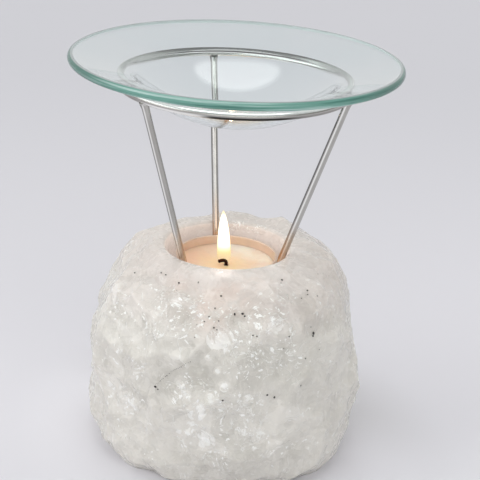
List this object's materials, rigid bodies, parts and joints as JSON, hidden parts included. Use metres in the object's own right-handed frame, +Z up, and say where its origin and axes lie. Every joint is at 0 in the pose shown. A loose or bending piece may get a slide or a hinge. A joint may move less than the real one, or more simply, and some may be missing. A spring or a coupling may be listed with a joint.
{
  "type": "oil burner",
  "caption": "Oil burner: glass dish on a three-legged wire ring stand, set in the bored top of a rough quartz block that holds a tealight.",
  "frame": {"origin": "middle of the sawn underside of the stone, on the axis of its bore", "axes": "+Z up along the axis of the bore and the ring; +Y towards the leg that stands at the back in the picture; +X to the right"},
  "size_m": [0.12, 0.12, 0.1499],
  "materials": {
    "quartz": "rough-hewn milky quartz",
    "steel_wire": "satin drawn wire",
    "dish_glass": "clear, polished edge with a green tint",
    "cup_foil": "thin pressed foil",
    "wax": "smooth candle wax, half melted",
    "wick_cotton": "charred braided cotton",
    "sustainer_metal": "plain pressed metal"
  },
  "bodies": {
    "stone": {"stone_base": "quartz"},
    "stand": {"stand_ring": "steel_wire", "stand_leg_back": "steel_wire", "stand_leg_left": "steel_wire", "stand_leg_right": "steel_wire"},
    "dish": {"glass_dish": "dish_glass"},
    "tealight": {"tealight_cup": "cup_foil", "candle_wax": "wax", "wick": "wick_cotton", "wick_sustainer": "sustainer_metal"}
  },
  "joints": [
    {"name": "stand_lift", "type": "slide", "parent": "stone", "child": "stand", "axis": [0, 0, 1], "range_m": [0, 0.04]},
    {"name": "dish_lift", "type": "slide", "parent": "stand", "child": "dish", "axis": [0, 0, 1], "range_m": [0, 0.03]},
    {"name": "tealight_lift", "type": "slide", "parent": "stone", "child": "tealight", "axis": [0, 0, 1], "range_m": [0, 0.022]}
  ]
}
